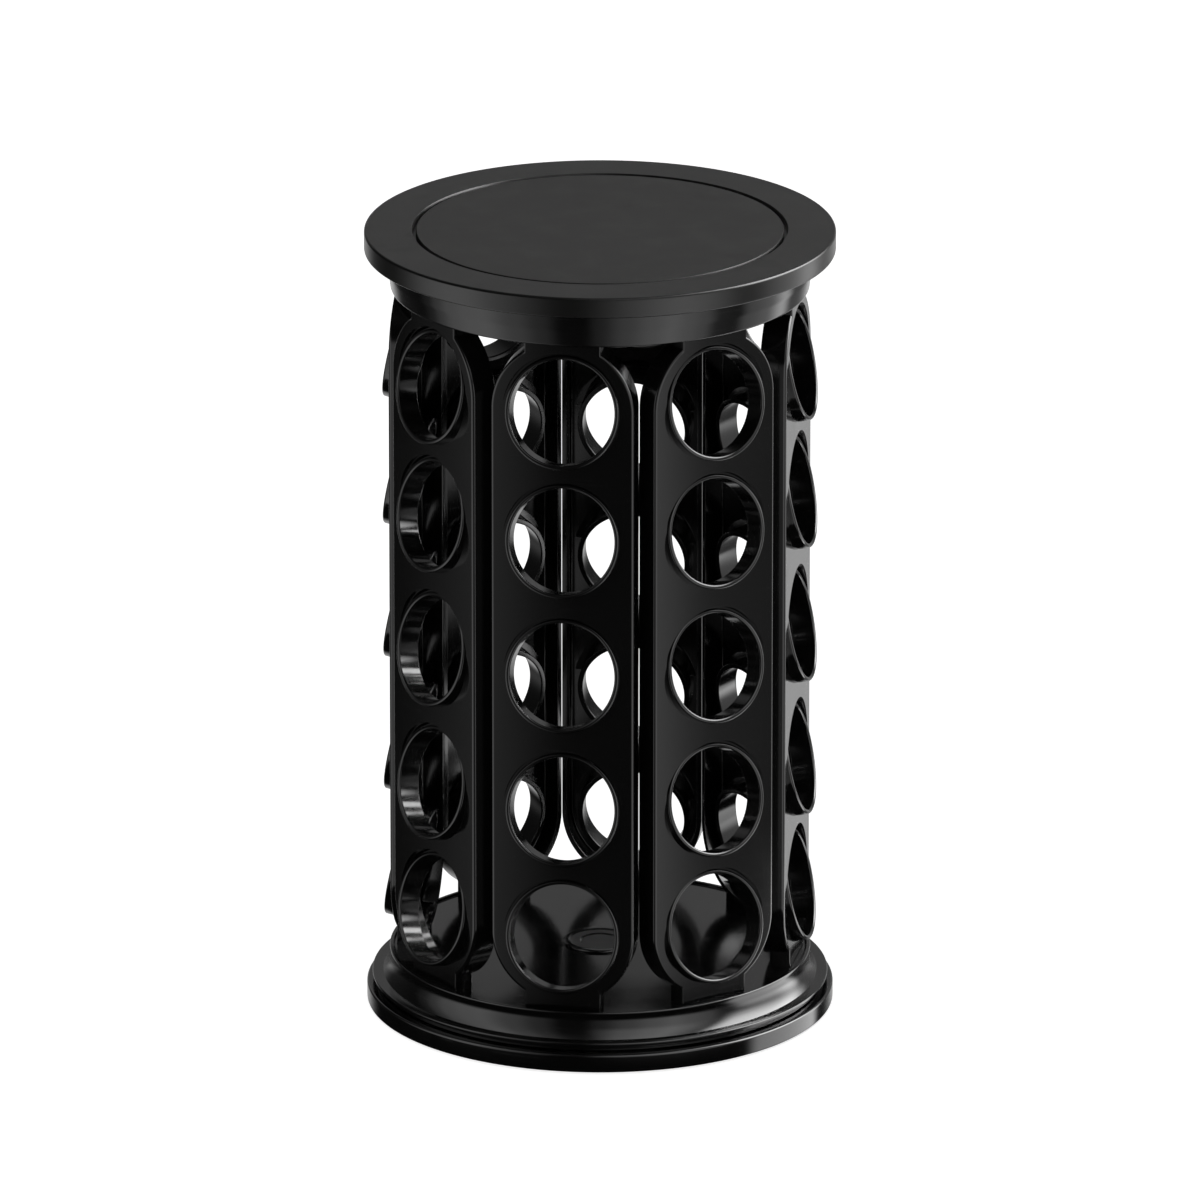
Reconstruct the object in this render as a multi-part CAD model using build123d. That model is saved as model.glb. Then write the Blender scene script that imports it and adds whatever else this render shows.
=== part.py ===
"""Rotating spice carousel: eight socket columns between a turntable base and a round top.

Millimetres, +Z up, origin on the resting plane under the centre of the plinth.
Column 1 faces -Y and the others follow anticlockwise, seen from above.
"""

from build123d import *
import math
import os

# ---- driving dimensions -------------------------------------------------------------------
HEIGHT = 352.0  # resting plane to top face
TOP_R = 102.0  # round top, and the plinth below
TOP_T = 9.0  # depth of the top's edge band

COLUMNS = 8
FACE_R = 87.4  # axis to the flat face of a column
COLUMN_W = 62.5
COLUMN_Z0 = 27.0  # lowest and highest point of a column's rounded ends
COLUMN_Z1 = 327.5
TRAY_DEPTH = 11.3  # a column is a tray, open towards the axis; its neighbours all but touch it there
FACE_T = 2.4
SIDE_T = 2.2
FACE_EDGE_R = 1.2

ROW_PITCH = 61.0  # between the three middle rows; the end rows sit in the rounded ends
SOCKET_TILT = 12.0  # degrees that a socket's mouth looks up
SOCKET_R = 22.95  # inside
SOCKET_WALL = 2.0
SOCKET_DEPTH = 10.4
SOCKET_PROUD = 1.9  # middle of the lip, in front of the face
POCKET_GAP = 1.1  # shallow pocket round the lip, where it dips behind the face
POCKET_DROP = 1.2
POCKET_FLOOR_T = 2.0
LIP_EDGE_R = 0.5
SHELF_W = 1.6  # how far the pocket's floor runs on past its wall

TAB_W = 33.0  # tab at each end of a column
TAB_D = 9.0
TAB_IN = 9.0  # how far a tab goes into the base or the collar
TAB_FIT = 0.15  # room round a tab
TAB_ROOT = 6.0  # how far a tab overlaps the rounded end it grows from
TAB_WALL = 2.2  # pocket round a tab, in the base and in the collar

# screws are (shank radius, head radius, head height); the holes below are radii too
COLUMN_SCREW = (1.35, 2.8, 1.4)
COLUMN_SCREW_L = 11.0
COLUMN_SCREW_HOLE = 1.4
COLUMN_HOLE_DEPTH = 12.0
CLEAR_HOLE = 1.7
TOP_SCREW = (1.3, 2.8, 1.4)
TOP_SCREW_HOLE = 1.35
TOP_SCREWS = 4
RACE_SCREW = (1.15, 1.75, 0.9)
RACE_SCREW_HOLE = 1.2
RACE_SCREWS = 4

BASE_RIM_R = 92.0
BASE_RIM_Z = 25.0
BASE_FLOOR_Z = 24.0
BASE_CROWN_Z = 25.5  # the floor rises towards the hub
BASE_LEDGE_R = 94.9
BASE_LIP_R = 99.6
BASE_LIP_Z = 13.6
BASE_LIP_T = 1.4
BASE_SKIRT_R = 97.4
BASE_WALL = 2.5

PLINTH_Z0 = 1.0
PLINTH_Z1 = 9.0
TURN_GAP = 0.6  # between the plinth and the turning base
PAD_R = 7.0
PAD_ORBIT = 86.0
PAD_T = 2.2
PADS = 6
RIB_W = 3.0

COLLAR_R = 91.5
COLLAR_LOW_R = 90.4
COLLAR_Z0 = 326.4
COLLAR_DECK_Z = 328.2
COLLAR_IN_R = 73.0

INLAY_R = 79.6
INLAY_GAP = 1.4
INLAY_T = 3.0
INLAY_SINK = 0.2  # how much lower it lies than the rim round it
FLANGE_T = 2.5  # collar's inner flange, which the top is screwed to
FLANGE_W = 7.0
FIRST_TOP_SCREW = 22.5  # degrees

BALL_R = 2.5
BALL_ORBIT = 50.0
BALLS = 24
BALL_Z = 13.0
RACE_FIT = 0.05  # running room round each ball
RACE_W = 14.0
RACE_T = 3.2
RACE_SCREW_ORBIT = 54.7  # outside the balls' path
HEAD_SINK = 1.4  # how deep the race screws' heads sit
CAGE_W = 10.0
CAGE_T = 1.0

BOLT_R = 4.0
BOLT_HEAD_R = 7.2  # across the corners, like the nut
BOLT_HEAD_T = 3.4
BOLT_HEAD_Z0 = 1.5
WASHER_R = 8.5
WASHER_T = 0.8
NUT_T = 1.7
PIVOT_FIT = 0.05
HUB_R = 12.0
HUB_WALL = 2.0
NUT_WELL = 3.6  # depth of the hollow in the hub for washer and nut
CAP_R = 16.2
CAP_Z = 26.6

# ---- worked out from them -----------------------------------------------------------------
TOP_Z0 = HEIGHT - TOP_T
END_R = COLUMN_W / 2
LOW_ARC_Z = COLUMN_Z0 + END_R
HIGH_ARC_Z = COLUMN_Z1 - END_R
MID_Z = (LOW_ARC_Z + HIGH_ARC_Z) / 2
ROW_Z = [LOW_ARC_Z, MID_Z - ROW_PITCH, MID_Z, MID_Z + ROW_PITCH, HIGH_ARC_Z]
SOCKET_OUT_R = SOCKET_R + SOCKET_WALL
STEP_ANGLE = 360 / COLUMNS
TAB_MID_R = FACE_R - TAB_D / 2
RACE_LOW_Z = PLINTH_Z1
RACE_HIGH_Z = 2 * BALL_Z - PLINTH_Z1  # top of the upper race, a mirror of the lower one
TURN_Z0 = PLINTH_Z1 + TURN_GAP
LOW_SCREW_TURN = 0.0  # where the four screws of each race start, in degrees
HIGH_SCREW_TURN = 22.5
LOW_SEAT_Z = RACE_LOW_Z + HEAD_SINK
HIGH_SEAT_Z = RACE_HIGH_Z - HEAD_SINK
LOW_TAB_Z = BASE_FLOOR_Z - TAB_IN
HIGH_TAB_Z = COLLAR_DECK_Z + TAB_IN
LOW_TAB_SEAT = LOW_TAB_Z - TAB_WALL  # outer face of a tab's pocket, where its screw's head sits
HIGH_TAB_SEAT = HIGH_TAB_Z + TAB_WALL
UNDER_FLOOR_Z = BASE_CROWN_Z - BASE_WALL
WELL_Z = BASE_CROWN_Z - NUT_WELL
TOP_SCREW_ORBIT = COLLAR_IN_R - FLANGE_W / 2
FLANGE_Z = TOP_Z0 - FLANGE_T
FAR = 12.0  # a cutter runs this far past the material it cuts


def round_body(*points):
    """Turn a closed outline of (radius, height) corners about the upright axis."""
    outline = make_face(Plane.XZ * Polyline(*points, close=True))
    return revolve(outline, Axis.Z)


def ring(inner_r, outer_r, z0, z1):
    """A plain ring between two heights."""
    return round_body((inner_r, z0), (outer_r, z0), (outer_r, z1), (inner_r, z1))


def rod(radius, z0, z1, at=(0, 0)):
    """An upright cylinder between two heights."""
    return Pos(at[0], at[1], (z0 + z1) / 2) * Cylinder(radius, z1 - z0)


def block(width, y0, y1, z0, z1):
    """A box centred on X = 0."""
    return Pos(0, (y0 + y1) / 2, (z0 + z1) / 2) * Box(width, y1 - y0, z1 - z0)


def on_circle(radius, count, first=0.0):
    """Points (x, y) spaced evenly round a circle, the first one at that angle in degrees."""
    turns = [math.radians(first + 360 * i / count) for i in range(count)]
    return [(radius * math.cos(t), radius * math.sin(t)) for t in turns]


def round_column(solid):
    """The same solid at each column's place."""
    return [Rot(0, 0, STEP_ANGLE * i) * solid for i in range(COLUMNS)]


def horizontal_edges(solid, radius, z):
    """The circular edges of that radius at that height."""
    rings = solid.edges().filter_by(GeomType.CIRCLE)
    return [e for e in rings if abs(e.radius - radius) < 0.01 and abs(e.center().Z - z) < 0.01]


def screw(at, seat_z, point_z, size):
    """A cross-head screw whose head sits on seat_z and whose point is at point_z, above or below it."""
    shank_r, head_r, head_t = size
    up = 1 if point_z > seat_z else -1
    far = seat_z - up * head_t
    head = rod(head_r, min(seat_z, far), max(seat_z, far), at)
    rim = [e for e in head.edges().filter_by(GeomType.CIRCLE) if abs(e.center().Z - far) < 0.01]
    head = fillet(rim, 0.4 * head_t)
    shank = rod(shank_r, min(seat_z, point_z), max(seat_z, point_z), at)
    slot = Pos(at[0], at[1], far) * (Box(1.2 * head_r, 0.5, head_t) + Box(0.5, 1.2 * head_r, head_t))
    return head + shank - slot


# ---- one column ---------------------------------------------------------------------------
def stadium(width, y0, y1):
    """The column's outline, an upright slot shape of that width, from y0 to y1."""
    face = Plane.XZ * Pos(0, MID_Z) * Rot(0, 0, 90) * SlotCenterToCenter(HIGH_ARC_Z - LOW_ARC_Z, width)
    return Pos(0, y1, 0) * extrude(face, y1 - y0)


def socket_place(z):
    """The lip's centre, with local +Z out of the mouth: outwards from the axis and a little up."""
    return Pos(0, -FACE_R - SOCKET_PROUD, z) * Rot(90 - SOCKET_TILT, 0, 0)


def disc_below(radius, top, thickness):
    """A disc in a socket's own frame, its top face at that distance from the lip."""
    return Pos(0, 0, top - thickness / 2) * Cylinder(radius, thickness)


def socket_tube():
    """The ring of a socket, with both edges of its lip rounded."""
    tube = disc_below(SOCKET_OUT_R, 0, SOCKET_DEPTH) - disc_below(SOCKET_R, 1, SOCKET_DEPTH + 2)
    lip = [e for e in tube.edges().filter_by(GeomType.CIRCLE) if abs(e.center().Z) < 0.01]
    return fillet(lip, LIP_EDGE_R)


def column():
    """The column that faces -Y: tray, end tabs and five socket rings in one moulding."""
    outer = stadium(COLUMN_W, -FACE_R, -FACE_R + TRAY_DEPTH)
    front = [e for e in outer.edges() if abs(e.center().Y + FACE_R) < 0.01]
    body = fillet(front, FACE_EDGE_R)
    body -= stadium(COLUMN_W - 2 * SIDE_T, -FACE_R + FACE_T, -FACE_R + TRAY_DEPTH + 1)
    back_y = -FACE_R + TAB_D
    body += block(TAB_W, -FACE_R, back_y, LOW_TAB_Z, COLUMN_Z0 + TAB_ROOT)
    body += block(TAB_W, -FACE_R, back_y, COLUMN_Z1 - TAB_ROOT, HIGH_TAB_Z)
    pocket_r = SOCKET_OUT_R + POCKET_GAP
    for z in ROW_Z:
        place = socket_place(z)
        body += place * disc_below(pocket_r + SHELF_W, -POCKET_DROP, POCKET_FLOOR_T) & outer
        body -= place * disc_below(pocket_r, FAR, FAR + POCKET_DROP)
        body -= place * disc_below(SOCKET_OUT_R - 0.5, FAR, 3 * FAR)
        body += place * socket_tube()
    body -= rod(COLUMN_SCREW_HOLE, LOW_TAB_Z, LOW_TAB_Z + COLUMN_HOLE_DEPTH, (0, -TAB_MID_R))
    body -= rod(COLUMN_SCREW_HOLE, HIGH_TAB_Z - COLUMN_HOLE_DEPTH, HIGH_TAB_Z, (0, -TAB_MID_R))
    return body


# ---- turning base -------------------------------------------------------------------------
def tab_slot(z0, z1):
    """The room that a column's tab needs, between two heights."""
    return block(TAB_W + 2 * TAB_FIT, -FACE_R - TAB_FIT, -FACE_R + TAB_D + TAB_FIT, z0, z1)


def turntable_base():
    """The flared base that turns: skirt, lip, hollow flare, rim and crowned floor."""
    flare_in = (BASE_RIM_R + BASE_LEDGE_R) / 2 - 1.5
    mid_z = (BASE_LIP_Z + BASE_RIM_Z) / 2
    inner_r = BASE_RIM_R - 3.4
    with BuildPart() as shell:
        with BuildSketch(Plane.XZ):
            with BuildLine():
                Polyline(
                    (BASE_SKIRT_R, TURN_Z0),
                    (BASE_SKIRT_R, BASE_LIP_Z - BASE_LIP_T),
                    (BASE_LIP_R, BASE_LIP_Z - BASE_LIP_T),
                    (BASE_LIP_R, BASE_LIP_Z),
                    (BASE_LEDGE_R, BASE_LIP_Z),
                )
                ThreePointArc((BASE_LEDGE_R, BASE_LIP_Z), (flare_in, mid_z), (BASE_RIM_R, BASE_RIM_Z - 1))
                Polyline(
                    (BASE_RIM_R, BASE_RIM_Z - 1),
                    (BASE_RIM_R - 0.6, BASE_RIM_Z),
                    (BASE_RIM_R - 1.6, BASE_RIM_Z),
                    (BASE_RIM_R - 2.2, BASE_FLOOR_Z),
                    (HUB_R, BASE_CROWN_Z),
                    (HUB_R, UNDER_FLOOR_Z),
                    (inner_r, BASE_FLOOR_Z - BASE_WALL),
                    (inner_r, BASE_LIP_Z - BASE_LIP_T),
                    (BASE_SKIRT_R - BASE_WALL, BASE_LIP_Z - BASE_LIP_T),
                    (BASE_SKIRT_R - BASE_WALL, TURN_Z0),
                    (BASE_SKIRT_R, TURN_Z0),
                )
            make_face()
        revolve(axis=Axis.Z)
    body = shell.part
    body += ring(BALL_ORBIT - 4, BALL_ORBIT + RACE_W / 2, RACE_HIGH_Z, UNDER_FLOOR_Z)
    body += ring(BOLT_R + PIVOT_FIT, HUB_R + HUB_WALL, BALL_Z, WELL_Z)
    body += ring(HUB_R, HUB_R + HUB_WALL, WELL_Z - 0.4, BASE_CROWN_Z - 0.1)
    pocket_y1 = -FACE_R + TAB_D + TAB_WALL
    pocket = block(TAB_W + 2 * TAB_WALL, -inner_r - 0.1, pocket_y1, LOW_TAB_SEAT, UNDER_FLOOR_Z)
    slot = tab_slot(LOW_TAB_Z, BASE_RIM_Z + 2)
    hole = rod(CLEAR_HOLE, LOW_TAB_SEAT - 1, BASE_FLOOR_Z, (0, -TAB_MID_R))
    for solid in round_column(pocket):
        body += solid
    for solid in round_column(slot + hole):
        body -= solid
    for at in on_circle(RACE_SCREW_ORBIT, RACE_SCREWS, HIGH_SCREW_TURN):
        body -= rod(RACE_SCREW_HOLE, RACE_HIGH_Z - 1, RACE_HIGH_Z + 3.4, at)
    return body


def hub_cap():
    """The round cap that hides the pivot nut, with a plug that sits in the hub."""
    disc = rod(CAP_R, BASE_CROWN_Z, CAP_Z)
    disc = fillet(horizontal_edges(disc, CAP_R, CAP_Z), 0.8)
    plug = ring(HUB_R - 1.6, HUB_R - 0.1, BASE_CROWN_Z - 1.6, BASE_CROWN_Z + 0.4)
    return disc + plug


# ---- plinth, bearing and pivot ------------------------------------------------------------
def foot_plate():
    """The plinth: a ribbed plate with pockets for its pads and a boss for the pivot bolt."""
    body = rod(TOP_R, PLINTH_Z0, PLINTH_Z1)
    body = fillet(horizontal_edges(body, TOP_R, PLINTH_Z1), 0.9)
    body = fillet(horizontal_edges(body, TOP_R, PLINTH_Z0), 0.6)
    recess = ring(20, 74, PLINTH_Z0 - 1, PLINTH_Z1 - 3.5)
    for i in range(PADS):
        recess -= Rot(0, 0, 360 * (i + 0.5) / PADS) * Pos(47, 0, 4) * Box(60, RIB_W, FAR)
    body -= recess
    body -= rod(BOLT_R + 0.1, PLINTH_Z0 - 1, PLINTH_Z1 + 1)
    body -= rod(BOLT_HEAD_R + 1, PLINTH_Z0 - 1, PLINTH_Z0 + 4)
    body += ring(BOLT_R + 0.1, HUB_R - 3, PLINTH_Z1 - 1, BALL_Z - 0.1)
    for at in on_circle(PAD_ORBIT, PADS):
        body -= rod(PAD_R + 0.1, PLINTH_Z0 - 1, PAD_T, at)
    for at in on_circle(RACE_SCREW_ORBIT, RACE_SCREWS, LOW_SCREW_TURN):
        body -= rod(RACE_SCREW_HOLE, PLINTH_Z1 - 3, PLINTH_Z1 + 1, at)
    return body


def rubber_feet():
    """Six round pads, proud of the plinth's underside."""
    pads = []
    for at in on_circle(PAD_ORBIT, PADS):
        pad = rod(PAD_R, 0, PAD_T, at)
        pads.append(fillet([e for e in pad.edges() if abs(e.center().Z) < 0.01], 0.5))
    return pads


def race(z0, z1, seat_z, screw_turn):
    """One raceway: a flat ring with a round groove for the balls and four screw holes."""
    body = ring(BALL_ORBIT - RACE_W / 2, BALL_ORBIT + RACE_W / 2, z0, z1)
    body -= Pos(0, 0, BALL_Z) * Torus(BALL_ORBIT, BALL_R + RACE_FIT)
    shank_r, head_r, _ = RACE_SCREW
    for at in on_circle(RACE_SCREW_ORBIT, RACE_SCREWS, screw_turn):
        body -= rod(shank_r + 0.15, z0 - 1, z1 + 1, at)
        body -= rod(head_r + 0.15, min(seat_z, BALL_Z), max(seat_z, BALL_Z), at)
    return body


def race_screws(seat_z, point_z, screw_turn):
    """Four small screws whose heads are sunk into the race, clear of the cage."""
    places = on_circle(RACE_SCREW_ORBIT, RACE_SCREWS, screw_turn)
    return [screw(at, seat_z, point_z, RACE_SCREW) for at in places]


def bearing_balls():
    """The steel balls, evenly spaced."""
    first = 180 / BALLS
    return [Pos(x, y, BALL_Z) * Sphere(BALL_R) for x, y in on_circle(BALL_ORBIT, BALLS, first)]


def ball_cage():
    """The thin ring that keeps the balls apart."""
    half_w, half_t = CAGE_W / 2, CAGE_T / 2
    body = ring(BALL_ORBIT - half_w, BALL_ORBIT + half_w, BALL_Z - half_t, BALL_Z + half_t)
    for at in on_circle(BALL_ORBIT, BALLS, 180 / BALLS):
        body -= rod(BALL_R + 0.03, BALL_Z - 1, BALL_Z + 1, at)
    return body


def pivot_bolt():
    """The bolt up through the plinth, its head in the plinth's underside."""
    head = extrude(RegularPolygon(BOLT_HEAD_R, 6), BOLT_HEAD_T)
    head_top = BOLT_HEAD_Z0 + BOLT_HEAD_T
    return Pos(0, 0, BOLT_HEAD_Z0) * head + rod(BOLT_R, head_top, BASE_CROWN_Z - 0.9)


def pivot_washer():
    """The washer that the turning hub runs under."""
    z0 = WELL_Z + PIVOT_FIT
    return ring(BOLT_R + 0.02, WASHER_R, z0, z0 + WASHER_T)


def pivot_nut():
    """The thin lock nut above the washer."""
    z0 = WELL_Z + PIVOT_FIT + WASHER_T
    nut = extrude(RegularPolygon(BOLT_HEAD_R, 6), NUT_T)
    return Pos(0, 0, z0) * nut - rod(BOLT_R + 0.02, z0 - 1, z0 + NUT_T + 1)


# ---- collar and top -----------------------------------------------------------------------
def collar_ring():
    """The hollow band under the top, with a slot for each column's upper tab."""
    with BuildPart() as shell:
        with BuildSketch(Plane.XZ):
            with BuildLine():
                Polyline((COLLAR_R, TOP_Z0), (COLLAR_R, COLLAR_Z0 + 8))
                Spline(
                    (COLLAR_R, COLLAR_Z0 + 8),
                    (COLLAR_LOW_R + 0.2, COLLAR_Z0 + 1.2),
                    (COLLAR_LOW_R - 1.0, COLLAR_Z0),
                    tangents=((0, -1), (-1, 0)),
                )
                Polyline(
                    (COLLAR_LOW_R - 1.0, COLLAR_Z0),
                    (COLLAR_LOW_R - 1.8, COLLAR_Z0),
                    (COLLAR_LOW_R - 1.8, COLLAR_DECK_Z),
                    (COLLAR_IN_R, COLLAR_DECK_Z),
                    (COLLAR_IN_R, FLANGE_Z),
                    (COLLAR_IN_R - FLANGE_W, FLANGE_Z),
                    (COLLAR_IN_R - FLANGE_W, TOP_Z0),
                    (COLLAR_IN_R + 2.5, TOP_Z0),
                    (COLLAR_IN_R + 2.5, COLLAR_DECK_Z + 2.2),
                    (COLLAR_LOW_R - 1.8, COLLAR_DECK_Z + 2.2),
                    (COLLAR_LOW_R - 1.8, TOP_Z0),
                    (COLLAR_R, TOP_Z0),
                )
            make_face()
        revolve(axis=Axis.Z)
    body = shell.part
    pocket_y1 = -FACE_R + TAB_D + TAB_WALL
    pocket = block(TAB_W + 2 * TAB_WALL, -FACE_R - 1.4, pocket_y1, COLLAR_DECK_Z + 1, HIGH_TAB_SEAT)
    slot = tab_slot(COLLAR_Z0 - 1, HIGH_TAB_Z)
    hole = rod(CLEAR_HOLE, COLLAR_DECK_Z, HIGH_TAB_SEAT + 1, (0, -TAB_MID_R))
    for solid in round_column(pocket):
        body += solid
    for solid in round_column(slot + hole):
        body -= solid
    for at in on_circle(TOP_SCREW_ORBIT, TOP_SCREWS, FIRST_TOP_SCREW):
        body -= rod(CLEAR_HOLE, FLANGE_Z - 1, TOP_Z0 + 1, at)
    return body


def top_plate():
    """The round top: edge band, recess for the inlay and a lightening recess underneath."""
    body = rod(TOP_R, TOP_Z0, HEIGHT)
    body = fillet(horizontal_edges(body, TOP_R, HEIGHT), 1.0)
    body = fillet(horizontal_edges(body, TOP_R, TOP_Z0), 0.8)
    body -= rod(INLAY_R + INLAY_GAP, HEIGHT - INLAY_T, HEIGHT + 1)
    body -= rod(COLLAR_IN_R - FLANGE_W - 1, TOP_Z0 - 1, TOP_Z0 + 3)
    for at in on_circle(TOP_SCREW_ORBIT, TOP_SCREWS, FIRST_TOP_SCREW):
        body -= rod(TOP_SCREW_HOLE, TOP_Z0 - 1, TOP_Z0 + 4.6, at)
    return body


def top_inlay():
    """The flat disc let into the top, a hair lower than the rim round it."""
    top = HEIGHT - INLAY_SINK
    body = rod(INLAY_R, HEIGHT - INLAY_T, top)
    return fillet(horizontal_edges(body, INLAY_R, top), 0.5)


# ---- write every piece --------------------------------------------------------------------
def write(name, shape):
    """One STEP file for one node."""
    solids = shape if isinstance(shape, list) else [shape]
    solids = [s for part in solids for s in part.solids()]
    export_step(solids[0] if len(solids) == 1 else Compound(children=solids), f"parts/{name}.step")


os.makedirs("parts", exist_ok=True)

for number, shape in enumerate(round_column(column()), start=1):
    write(f"column_{number}", shape)

tabs_at = on_circle(TAB_MID_R, COLUMNS, -90)
top_screws_at = on_circle(TOP_SCREW_ORBIT, TOP_SCREWS, FIRST_TOP_SCREW)
foot_point = LOW_TAB_SEAT + COLUMN_SCREW_L
head_point = HIGH_TAB_SEAT - COLUMN_SCREW_L

write("foot_plate", foot_plate())
write("rubber_feet", rubber_feet())
write("lower_race", race(RACE_LOW_Z, RACE_LOW_Z + RACE_T, LOW_SEAT_Z, LOW_SCREW_TURN))
write("upper_race", race(RACE_HIGH_Z - RACE_T, RACE_HIGH_Z, HIGH_SEAT_Z, HIGH_SCREW_TURN))
write("lower_race_screws", race_screws(LOW_SEAT_Z, PLINTH_Z1 - 2.8, LOW_SCREW_TURN))
write("upper_race_screws", race_screws(HIGH_SEAT_Z, RACE_HIGH_Z + 3.2, HIGH_SCREW_TURN))
write("bearing_balls", bearing_balls())
write("ball_cage", ball_cage())
write("pivot_bolt", pivot_bolt())
write("pivot_washer", pivot_washer())
write("pivot_nut", pivot_nut())
write("turntable_base", turntable_base())
write("hub_cap", hub_cap())
write("collar_ring", collar_ring())
write("top_plate", top_plate())
write("top_inlay", top_inlay())
write("column_foot_screws", [screw(at, LOW_TAB_SEAT, foot_point, COLUMN_SCREW) for at in tabs_at])
write("column_head_screws", [screw(at, HIGH_TAB_SEAT, head_point, COLUMN_SCREW) for at in tabs_at])
write("top_plate_screws", [screw(at, FLANGE_Z, TOP_Z0 + 4.4, TOP_SCREW) for at in top_screws_at])
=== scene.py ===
# %% [markdown]
# # A rotating spice carousel
# The carousel is a tower of eight moulded columns between a turntable base and a round top. Each column
# carries five tilted round sockets. This notebook builds the visible pieces by hand-style modelling, one cell
# at a time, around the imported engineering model, which fixes every size and every moving body.

# %% Load the frame
import bmesh
import bpy
import math
from mathutils import Matrix, Vector


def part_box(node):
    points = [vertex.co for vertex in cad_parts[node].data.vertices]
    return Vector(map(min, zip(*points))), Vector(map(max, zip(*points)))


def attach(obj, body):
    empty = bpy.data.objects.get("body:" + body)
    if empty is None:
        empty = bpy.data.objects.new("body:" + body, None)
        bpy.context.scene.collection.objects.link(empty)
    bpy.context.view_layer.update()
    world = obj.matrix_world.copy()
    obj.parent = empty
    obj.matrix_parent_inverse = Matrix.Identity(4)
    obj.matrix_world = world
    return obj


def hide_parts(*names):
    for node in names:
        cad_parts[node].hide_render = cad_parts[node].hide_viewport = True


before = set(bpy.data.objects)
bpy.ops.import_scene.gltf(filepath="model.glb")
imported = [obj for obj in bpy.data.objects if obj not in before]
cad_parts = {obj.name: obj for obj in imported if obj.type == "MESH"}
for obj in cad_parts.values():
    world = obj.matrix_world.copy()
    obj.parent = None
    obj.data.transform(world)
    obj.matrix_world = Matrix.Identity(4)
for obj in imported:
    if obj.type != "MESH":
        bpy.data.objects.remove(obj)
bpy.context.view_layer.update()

MM = 0.001
TAU = 2 * math.pi

# %% [markdown]
# ## Sizes
# Every outer size is read from the boxes of the engineering nodes. Only what a box cannot say, such as a
# wall's thickness or a socket's tilt, is written here, in millimetres.

# %% Sizes, from the frame and in millimetres
def node_mm(node):
    """A node's lowest and highest corner in millimetres."""
    low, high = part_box(node)
    return low / MM, high / MM


top_low, top_high = node_mm("top_plate")
TOP_R = round(top_high.y, 1)
TOP_Z0, TOP_Z1 = top_low.z, top_high.z
inlay_low, inlay_high = node_mm("top_inlay")
INLAY_R, INLAY_Z0, INLAY_Z1 = round(inlay_high.y, 1), inlay_low.z, inlay_high.z
collar_low, collar_high = node_mm("collar_ring")
COLLAR_R, COLLAR_Z0 = collar_high.x, collar_low.z
base_low, base_high = node_mm("turntable_base")
BASE_LIP_R, BASE_Z0, BASE_TOP_Z = base_high.x, base_low.z, base_high.z
plinth_low, plinth_high = node_mm("foot_plate")
PLINTH_Z0 = plinth_low.z
column_low, column_high = node_mm("column_1")
TAB_Z0, TAB_Z1 = column_low.z, column_high.z
COLUMN_W = column_high.x - column_low.x

COLUMNS = 8
FACE_R = 87.4
STADIUM_Z0, STADIUM_Z1 = 27.0, 327.5
TRAY_DEPTH, FACE_T, SIDE_T = 11.75, 2.4, 2.2
ROW_PITCH = 61.0
TILT = math.radians(12)
SOCKET_R, SOCKET_WALL, SOCKET_DEPTH, SOCKET_PROUD = 22.95, 2.0, 10.4, 1.9
POCKET_R, POCKET_DROP, POCKET_FLOOR_T = 26.05, 1.2, 2.0
TAB_W, TAB_D = 33.0, 9.0

ARC_LOW, ARC_HIGH = STADIUM_Z0 + COLUMN_W / 2, STADIUM_Z1 - COLUMN_W / 2
ROW_MID = (ARC_LOW + ARC_HIGH) / 2
ROW_Z = [ARC_LOW, ROW_MID - ROW_PITCH, ROW_MID, ROW_MID + ROW_PITCH, ARC_HIGH]
print("socket rows at", ROW_Z, "mm; column width", round(COLUMN_W, 2))

# %% [markdown]
# ## Camera
# A long lens a good way off keeps the tower's uprights almost parallel, as in a catalogue picture. The camera
# is set first, because every later choice of finish is judged through it.

# %% Camera
VIEW_AZIMUTH, VIEW_ELEVATION = math.radians(10.66), math.radians(18.4)
CAMERA_AWAY = 7.5
LENS_MM, SENSOR_MM = 517.2, 36.0
AIM_Z = 182.8
aim = Vector((0, 0, AIM_Z * MM))
away = Vector((
    math.sin(VIEW_AZIMUTH) * math.cos(VIEW_ELEVATION),
    -math.cos(VIEW_AZIMUTH) * math.cos(VIEW_ELEVATION),
    math.sin(VIEW_ELEVATION),
))
camera_data = bpy.data.cameras.new("catalogue_camera")
camera_data.lens, camera_data.sensor_width = LENS_MM, SENSOR_MM
camera_data.clip_end = 100
camera = bpy.data.objects.new("catalogue_camera", camera_data)
bpy.context.scene.collection.objects.link(camera)
camera.location = aim + CAMERA_AWAY * away
camera.rotation_euler = (-away).to_track_quat("-Z", "Y").to_euler()
bpy.context.scene.camera = camera
print("camera", CAMERA_AWAY, "m away, lens", LENS_MM, "mm")


# %% [markdown]
# ## Light
# A black glossy thing is lit by what it mirrors, so the light is painted onto two shells that only
# reflections can see. The near one is an open drum that stands round the tower. Because it is close, each
# flat panel shows a slow change of tone and not one even grey. The far one is a dome, with a bright window on
# the right that is mirrored in the upward curves. A dim even sky gives the little light that isn't mirrored.

# %% Shells of light
def node(tree, kind, links=None, **settings):
    """A node with some of its settings and inputs. links maps an input to a value or to another socket."""
    made = tree.nodes.new("ShaderNode" + kind)
    for key, value in settings.items():
        setattr(made, key, value)
    for key, value in (links or {}).items():
        if isinstance(value, bpy.types.NodeSocket):
            tree.links.new(value, made.inputs[key])
        else:
            made.inputs[key].default_value = value
    return made


def maths(tree, operation, *values, clamp=False):
    """One sum of a Math node, as its output socket."""
    return node(tree, "Math", dict(enumerate(values)), operation=operation, use_clamp=clamp).outputs[0]


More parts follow.
